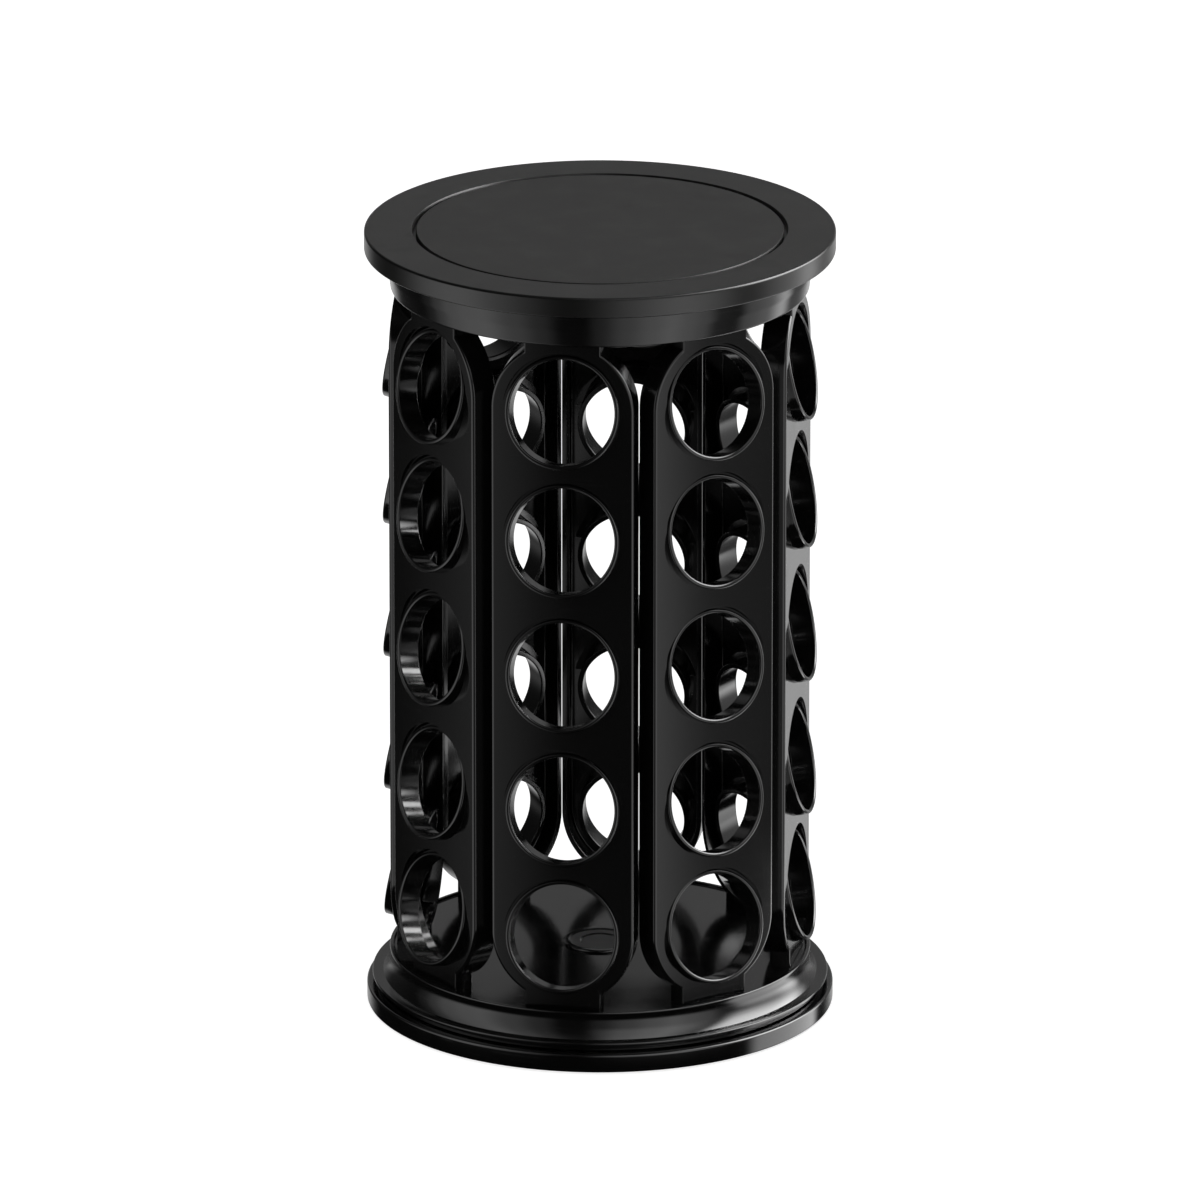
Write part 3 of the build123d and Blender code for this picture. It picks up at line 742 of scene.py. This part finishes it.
WORN_GLOSS, DUSTY_GLOSS = (0.03, 0.03, 0.03), (0.2, 0.2, 0.19)
WORN_SATIN, DUSTY_SATIN = (0.05, 0.05, 0.05), (0.25, 0.25, 0.24)
COLUMN_BLACK = plastic(
    "column_black_gloss", colour=(0.004, 0.004, 0.004), worn=WORN_GLOSS, dusty=DUSTY_GLOSS,
    roughness=(0.11, 0.4), grain=(0.5, 0.35, 3.0), smears=0.2, scratches=0.5, wear=0.35, dust=0.1,
)
BASE_BLACK = plastic(
    "base_black_gloss", colour=(0.0035, 0.0035, 0.0035), worn=WORN_GLOSS, dusty=DUSTY_GLOSS,
    roughness=(0.11, 0.4), grain=(0.4, 0.3, 3.0), smears=0.2, scratches=0.6, wear=0.35, dust=0.12,
)
CAP_MATT = plastic(
    "cap_black_matt", colour=(0.008, 0.008, 0.008), worn=WORN_GLOSS, dusty=DUSTY_GLOSS,
    roughness=(0.55, 0.7), grain=(0.35, 1.6, 1.0), smears=0.3, scratches=0.3, wear=0.2, dust=0.1,
)
TOP_SATIN = plastic(
    "top_black_satin", colour=(0.006, 0.0058, 0.0055), worn=WORN_SATIN, dusty=DUSTY_SATIN,
    roughness=(0.28, 0.45), grain=(0.35, 0.9, 1.0), smears=0.12, scratches=0.4, wear=0.3, dust=0.12,
)
INLAY_SATIN = plastic(
    "inlay_black_satin", colour=(0.0065, 0.0063, 0.006), worn=WORN_SATIN, dusty=DUSTY_SATIN,
    roughness=(0.36, 0.5), grain=(0.3, 1.4, 0.8), smears=0.1, scratches=0.3, wear=0.3, dust=0.14,
)
print("plastics:", [m.name for m in (COLUMN_BLACK, BASE_BLACK, CAP_MATT, TOP_SATIN, INLAY_SATIN)])


# %% [markdown]
# ## Metal, rubber and nylon
# The bearing, the pivot and the screws keep their engineered shapes, because those are already exact. They
# still need finishes: turned steel shows fine rings left by the tool, and zinc plating is patchy. The nylon
# cage lets a little light in; here it gets a fine matt grain, as the rubber does.

# %% Finishes of the inner parts
def turned_rings_group():
    """Fine rings about the upright axis, as a lathe leaves them."""
    group, ins, outs = new_group("turned_rings", [("Pitch", "Float", 0.25)], [("Height", "Float", None)])
    place_on = node(group, "TexCoord").outputs["Object"]
    flat = node(group, "VectorMath", {0: place_on, 1: (1, 1, 0)}, operation="MULTIPLY").outputs["Vector"]
    radius = node(group, "VectorMath", {0: flat}, operation="LENGTH").outputs["Value"]
    turns = maths(group, "DIVIDE", maths(group, "MULTIPLY", radius, TAU / MM), ins.outputs["Pitch"])
    wander = node(group, "TexNoise", {"Vector": place_on, "Scale": 90.0, "Detail": 2.0}).outputs["Fac"]
    wave = maths(group, "SINE", maths(group, "ADD", turns, maths(group, "MULTIPLY", wander, 3.0)))
    group.links.new(wave, outs.inputs["Height"])
    return group


TURNED_RINGS = turned_rings_group()


def metal(name, colour, patchy, roughness, ring_pitch, ring_depth):
    """A plated or ground metal. roughness is (bright, dull); ring_pitch is in millimetres."""
    made, tree, shader = new_paint(name)
    shader.inputs["Metallic"].default_value = 1.0
    place_on = node(tree, "TexCoord").outputs["Object"]
    patch = node(tree, "TexNoise", {"Vector": place_on, "Scale": 260.0, "Detail": 4.0}).outputs["Fac"]
    tree.links.new(mixed(tree, between(tree, patch, 0.4, 0.7), colour, patchy), shader.inputs["Base Color"])
    tree.links.new(between(tree, patch, 0.3, 0.7, *roughness), shader.inputs["Roughness"])
    rings = use_group(tree, TURNED_RINGS, Pitch=ring_pitch)
    bump = node(tree, "Bump", {
        "Height": rings.outputs["Height"], "Strength": ring_depth, "Distance": 0.00002,
    }).outputs["Normal"]
    tree.links.new(bump, shader.inputs["Normal"])
    return made


def soft_plastic(name, colour, paler, roughness, grain_scale, grain_depth):
    """Rubber or nylon: a fine matt grain and a slow change of shade."""
    made, tree, shader = new_paint(name)
    place_on = node(tree, "TexCoord").outputs["Object"]
    grain = node(tree, "TexNoise", {"Vector": place_on, "Scale": grain_scale, "Detail": 4.0}).outputs["Fac"]
    slow = node(tree, "TexNoise", {"Vector": place_on, "Scale": 45.0, "Detail": 2.0}).outputs["Fac"]
    tree.links.new(mixed(tree, between(tree, slow, 0.35, 0.7), colour, paler), shader.inputs["Base Color"])
    tree.links.new(between(tree, grain, 0.3, 0.7, *roughness), shader.inputs["Roughness"])
    bump = node(tree, "Bump", {"Height": grain, "Strength": grain_depth, "Distance": 0.00006})
    tree.links.new(bump.outputs["Normal"], shader.inputs["Normal"])
    return made


RACE_STEEL = metal("ground_race_steel", (0.42, 0.41, 0.39), (0.34, 0.33, 0.31), (0.22, 0.36), 0.3, 0.35)
BALL_STEEL = metal("polished_ball_steel", (0.62, 0.61, 0.6), (0.56, 0.55, 0.54), (0.06, 0.12), 5.0, 0.02)
ZINC = metal("zinc_plate", (0.56, 0.56, 0.53), (0.45, 0.44, 0.38), (0.25, 0.42), 0.5, 0.2)
CAGE_NYLON = soft_plastic("cage_nylon", (0.55, 0.52, 0.44), (0.62, 0.59, 0.5), (0.38, 0.55), 900.0, 0.3)
PAD_RUBBER = soft_plastic("pad_rubber", (0.014, 0.014, 0.014), (0.03, 0.03, 0.029), (0.65, 0.85), 1800.0, 0.5)

for finish, node_names in {
    RACE_STEEL: ("lower_race", "upper_race"),
    BALL_STEEL: ("bearing_balls",),
    CAGE_NYLON: ("ball_cage",),
    ZINC: ("pivot_bolt", "pivot_washer", "pivot_nut", "lower_race_screws", "upper_race_screws",
           "column_foot_screws", "column_head_screws", "top_plate_screws"),
}.items():
    for node_name in node_names:
        for carried_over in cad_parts[node_name].material_slots:
            carried_over.material = finish
    print(finish.name, "on", node_names)


# %% [markdown]
# ## The eight columns
# One finished column is copied to eight places. Each copy is turned in its own mesh, so that every piece sits
# at the origin and its surface grain is laid in its own place.

# %% Columns
def settle(obj, name, node_name, body, finish):
    """Names a finished piece, gives it its finish and its body, and hides the engineering node that it stands
    for.
    """
    obj.name = obj.data.name = name
    obj.data.materials.clear()
    obj.data.materials.append(finish)
    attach(obj, body)
    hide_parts(node_name)
    return obj


column = build_column()
COLUMN_PLACES = around(COLUMNS)
for number, where in enumerate(COLUMN_PLACES, 1):
    piece = place(copy_of(column, "copy"), where)
    settle(piece, f"column_{number}_moulding", f"column_{number}", "carousel", COLUMN_BLACK)
bpy.data.objects.remove(column)

# %% [markdown]
# ## The turning base
# Seen from the side the base is a thin lip, a hollow flare and a fine raised rim; inside the rim lies a
# floor that rises gently to the hub. All of that is one turned outline. The pockets that hold the columns'
# tabs are boxes fused below the floor, with slots cut down into them.

# %% Turning base
def arc_through(a, b, c, steps):
    """Points of the arc that starts at a, passes b and ends at c, as corners with no rounding."""
    (ax, az), (bx, bz), (cx, cz) = a, b, c
    d = 2 * (ax * (bz - cz) + bx * (cz - az) + cx * (az - bz))
    aa, bb, cc = ax * ax + az * az, bx * bx + bz * bz, cx * cx + cz * cz
    centre = Vector((aa * (bz - cz) + bb * (cz - az) + cc * (az - bz),
                     aa * (cx - bx) + bb * (ax - cx) + cc * (bx - ax))) / d
    start, end = Vector(a) - centre, Vector(c) - centre
    turn = math.atan2(start.x * end.y - start.y * end.x, start.dot(end))
    return [(*(centre + Matrix.Rotation(turn * k / steps, 2) @ start), 0) for k in range(steps + 1)]


RIM_R, RIM_Z = 92.0, 25.0
FLOOR_Z, CROWN_Z, HUB_R = 24.0, BASE_TOP_Z, 12.0
LIP_Z, LIP_T, LEDGE_R, SKIRT_R, WALL = 13.6, 1.4, 94.9, 97.4, 2.5
FLARE_MID, FLARE_STEPS = (91.95, 19.3), 14
CAP_SEAT, HUB_FOOT_Z, BOLT_HOLE_R = 3.6, 13.0, 4.05
BOSS_R0, BOSS_R1, BOSS_Z = 46, 57, 17
POCKET_WALL, TAB_FIT, SCREW_HOLE_R = 2.2, 0.15, 1.7


def fit_tabs(obj, front_wall, pocket_z, slot_z, hole_z):
    """Fuses a pocket at each column's place, and cuts the tab's slot and the screw's hole in it.

    Each of the last three is (low, high) in millimetres.
    """
    back = -FACE_R + TAB_D
    pocket = box("pocket", (-TAB_W / 2 - POCKET_WALL, -FACE_R - front_wall, pocket_z[0]),
                 (TAB_W / 2 + POCKET_WALL, back + POCKET_WALL, pocket_z[1]))
    carve(obj, repeated(pocket, "pockets", COLUMN_PLACES), "UNION")
    slot = box("slot", (-TAB_W / 2 - TAB_FIT, -FACE_R - TAB_FIT, slot_z[0]),
               (TAB_W / 2 + TAB_FIT, back + TAB_FIT, slot_z[1]))
    carve(obj, repeated(slot, "slots", COLUMN_PLACES), "DIFFERENCE")
    hole = disc("screw_hole", SCREW_HOLE_R, *hole_z, 24)
    place(hole, Matrix.Translation(Vector((0, -FACE_R + TAB_D / 2, 0)) * MM))
    carve(obj, repeated(hole, "screw_holes", COLUMN_PLACES), "DIFFERENCE")


def build_base():
    """The base: one turned outline, a thick ring for the bearing's screws, and the tabs' pockets."""
    inner_r = RIM_R - 3.4
    ledge_z = LIP_Z - LIP_T
    base = turned("base", [
        (SKIRT_R, BASE_Z0, 0.3), (SKIRT_R, ledge_z, 0.3), (BASE_LIP_R, ledge_z, 0.35),
        (BASE_LIP_R, LIP_Z, 0.5),
        *arc_through((LEDGE_R, LIP_Z), FLARE_MID, (RIM_R, RIM_Z - 1), FLARE_STEPS),
        (RIM_R, RIM_Z, 0.45), (RIM_R - 1.6, RIM_Z, 0.4), (RIM_R - 2.2, FLOOR_Z, 0.5),
        (HUB_R, CROWN_Z, 0), (HUB_R, CROWN_Z - CAP_SEAT, 0), (BOLT_HOLE_R, CROWN_Z - CAP_SEAT, 0.2),
        (BOLT_HOLE_R, HUB_FOOT_Z, 0.2), (HUB_R + 2, HUB_FOOT_Z, 0.3), (HUB_R + 2, CROWN_Z - WALL, 0.5),
        (inner_r, FLOOR_Z - WALL, 0.8), (inner_r, ledge_z, 0.5), (SKIRT_R - WALL, ledge_z, 0.5),
        (SKIRT_R - WALL, BASE_Z0, 0.3),
    ], WIDE_STEPS)
    boss = turned("boss", [
        (BOSS_R0, BOSS_Z, 0.3), (BOSS_R1, BOSS_Z, 0.3), (BOSS_R1, CROWN_Z - 1, 0), (BOSS_R0, CROWN_Z - 1, 0),
    ], 192)
    carve(base, boss, "UNION")
    pocket_z0 = TAB_Z0 - POCKET_WALL
    fit_tabs(base, 1.3, (pocket_z0, FLOOR_Z - 1), (TAB_Z0, RIM_Z + 4), (pocket_z0 - 1, TAB_Z0 + 1))
    return finish_shading(base, 30)


settle(build_base(), "turntable_base_moulding", "turntable_base", "carousel", BASE_BLACK)


# %% [markdown]
# The hub cap closes the hole over the pivot. Its glossy rim runs round a dished matt face with a small sunk
# button in the middle. The matt finish is given only to the faces in the dish.

# %% Hub cap
cap_low, cap_high = node_mm("hub_cap")
DISH, BUTTON_R = 0.45, 8.0


def build_hub_cap():
    """A dished cap with a round rim, and a plug below that sits in the hub."""
    cap_r, top_z = cap_high.x, cap_high.z
    return finish_shading(turned("cap", [
        (0, top_z - 2 * DISH, 0), (BUTTON_R, top_z - 2 * DISH, 0.3), (BUTTON_R + 0.8, top_z - DISH, 0.3),
        (cap_r - 3.2, top_z - DISH, 0.5), (cap_r - 2.4, top_z, 0.35), (cap_r, top_z, 0.75),
        (cap_r, CROWN_Z, 0.15), (HUB_R - 0.1, CROWN_Z, 0.15), (HUB_R - 0.1, cap_low.z, 0.3),
        (HUB_R - 1.6, cap_low.z, 0.3), (HUB_R - 1.6, CROWN_Z, 0.3), (0, CROWN_Z, 0),
    ], 128), 30)


cap = settle(build_hub_cap(), "hub_cap_moulding", "hub_cap", "carousel", BASE_BLACK)
cap.data.materials.append(CAP_MATT)
start_editing(cap)
dish_z, slack = (cap_high.z - DISH) * MM, 1e-5
pick("FACE", lambda f: f.normal.z > 0.99 and CROWN_Z * MM + slack < f.calc_center_median().z < dish_z + slack)
cap.active_material_index = 1
bpy.ops.object.material_slot_assign()
stop_editing()

# %% [markdown]
# ## The plinth and its pads
# The plinth is the still part: a wide plate on six rubber pads, with a ribbed hollow underneath. The ribs are
# one bar copied round the axis, and each pad has a round seat cut for it.

# %% Plinth
PAD_ORBIT, PADS = 86.0, 6
PAD_TOP = node_mm("rubber_feet")[1].z
PAD_R = round(node_mm("rubber_feet")[1].x - PAD_ORBIT, 2)
PAD_PLACES = around(PADS, radius=PAD_ORBIT)
PLINTH_TOP = BASE_Z0 - 0.6
HOLLOW_R0, HOLLOW_R1, PLATE_T = 20, 74, 3.5
RIB_T, RIB_OVERLAP = 3.0, 3
PAD_STEPS, PAD_RINGS, RING_W, RING_DEPTH = 48, (1.6, 3.2, 4.8), 0.6, 0.4


def build_plinth():
    """The plinth, hollow underneath, with a rib between each two pads and a seat for each pad."""
    hollow_z = PLINTH_TOP - PLATE_T
    plinth = turned("plinth", [
        (4.1, PLINTH_Z0 + 4, 0), (4.1, plinth_high.z, 0.2), (9, plinth_high.z, 0.4), (9, PLINTH_TOP, 0.5),
        (TOP_R, PLINTH_TOP, 1.0), (TOP_R, PLINTH_Z0, 0.7), (HOLLOW_R1, PLINTH_Z0, 0.5),
        (HOLLOW_R1, hollow_z, 0.8), (HOLLOW_R0, hollow_z, 0.8), (HOLLOW_R0, PLINTH_Z0, 0.5),
        (8.2, PLINTH_Z0, 0.3), (8.2, PLINTH_Z0 + 4, 0.3),
    ], WIDE_STEPS)
    rib = box("rib", (HOLLOW_R0 - RIB_OVERLAP, -RIB_T / 2, PLINTH_Z0 + 0.4),
              (HOLLOW_R1 + RIB_OVERLAP, RIB_T / 2, hollow_z + 1))
    carve(plinth, repeated(rib, "ribs", around(PADS, first=0.5)), "UNION")
    seat_r = PAD_R + 0.1
    seat = turned("seat", [
        (0, PLINTH_Z0 - 1, 0), (seat_r, PLINTH_Z0 - 1, 0), (seat_r, PAD_TOP, 0.3), (0, PAD_TOP, 0),
    ], PAD_STEPS)
    carve(plinth, repeated(seat, "seats", PAD_PLACES), "DIFFERENCE")
    return finish_shading(plinth, 30)


settle(build_plinth(), "foot_plate_moulding", "foot_plate", "foot", BASE_BLACK)


# %% [markdown]
# One pad is turned on the axis, with three fine rings let into its sole. It is then copied to the six seats,
# and the six pads stay one piece, because they stand for one node of the engineering model.

# %% Rubber pads
def build_pads():
    """All six pads."""
    rings = []
    for r in PAD_RINGS:
        inner, outer = r - RING_W / 2, r + RING_W / 2
        rings += [(inner, 0, 0.1), (inner, RING_DEPTH, 0.1), (outer, RING_DEPTH, 0.1), (outer, 0, 0.1)]
    outline = [(0, 0, 0), *rings, (PAD_R, 0, 0.5), (PAD_R, PAD_TOP, 0.1), (0, PAD_TOP, 0)]
    return finish_shading(repeated(turned("pad", outline, PAD_STEPS), "pads", PAD_PLACES), 30)


settle(build_pads(), "rubber_feet_pads", "rubber_feet", "foot", PAD_RUBBER)

# %% [markdown]
# ## The collar and the top
# Above the columns a narrower collar takes their upper tabs. It is hollow, with a deck for the tabs' pockets.
# The round top overhangs it, with a softly rounded edge band and a disc let in behind a fine shadow groove.

# %% Collar
DECK_Z, DECK_T, COLLAR_IN_R = 328.2, 2.2, 73.0
FLANGE_W, FLANGE_T = 7, 2.5


def build_collar():
    """The collar: a band, a deck, an inner wall with a flange under the top, and the tabs' pockets."""
    shell_r = COLLAR_R - 2.9
    flange_r, flange_z = COLLAR_IN_R - FLANGE_W, TOP_Z0 - FLANGE_T
    wall_r, deck_top = COLLAR_IN_R + 2.5, DECK_Z + DECK_T
    collar = turned("collar", [
        (COLLAR_R, TOP_Z0, 0.3), (COLLAR_R, COLLAR_Z0 + 7.5, 12), (COLLAR_R - 0.9, COLLAR_Z0, 1.3),
        (shell_r, COLLAR_Z0, 0.3), (shell_r, DECK_Z, 0.3), (COLLAR_IN_R, DECK_Z, 0.4),
        (COLLAR_IN_R, flange_z, 0.4), (flange_r, flange_z, 0.4), (flange_r, TOP_Z0, 0.2),
        (wall_r, TOP_Z0, 0.2), (wall_r, deck_top, 0.4), (shell_r, deck_top, 0.4), (shell_r, TOP_Z0, 0.2),
    ], WIDE_STEPS)
    pocket_z = (DECK_Z + 1, TAB_Z1 + POCKET_WALL)
    fit_tabs(collar, 1.4, pocket_z, (COLLAR_Z0 - 4, TAB_Z1), (TAB_Z1 - 1, TAB_Z1 + 4))
    return finish_shading(collar, 30)


settle(build_collar(), "collar_ring_moulding", "collar_ring", "carousel", BASE_BLACK)


# %% [markdown]
# The top and its inlay are two turned discs. Both walls of the groove between them slope outwards near the
# top, so that the fine line of shadow has a soft edge on each side.

# %% Top plate and its inlay
INLAY_GAP = 1.4
GROOVE_SLOPE_H, GROOVE_SLOPE_W = 1.0, 0.34


def build_top():
    """The top plate, with the bed of its inlay."""
    groove_r = INLAY_R + INLAY_GAP
    return finish_shading(turned("top", [
        (0, INLAY_Z0, 0), (groove_r, INLAY_Z0, 0.2), (groove_r, TOP_Z1 - GROOVE_SLOPE_H, 0.3),
        (groove_r + GROOVE_SLOPE_W, TOP_Z1, 0.2), (TOP_R, TOP_Z1, 1.1),
        (TOP_R, TOP_Z0, 0.9), (COLLAR_IN_R - 8, TOP_Z0, 0.4), (COLLAR_IN_R - 8, TOP_Z0 + 3, 0.5),
        (0, TOP_Z0 + 3, 0),
    ], WIDE_STEPS), 30)


def build_inlay():
    """The disc that lies in the top plate."""
    return finish_shading(turned("inlay", [
        (0, INLAY_Z0, 0), (INLAY_R, INLAY_Z0, 0.2), (INLAY_R, INLAY_Z1 - GROOVE_SLOPE_H, 0.3),
        (INLAY_R - GROOVE_SLOPE_W, INLAY_Z1, 0.2), (0, INLAY_Z1, 0),
    ], WIDE_STEPS), 30)


settle(build_top(), "top_plate_moulding", "top_plate", "carousel", TOP_SATIN)
settle(build_inlay(), "top_inlay_disc", "top_inlay", "carousel", INLAY_SATIN)

# %% [markdown]
# ## Last step
# The selection is cleared.

# %% Clear the selection
bpy.ops.object.select_all(action="DESELECT")
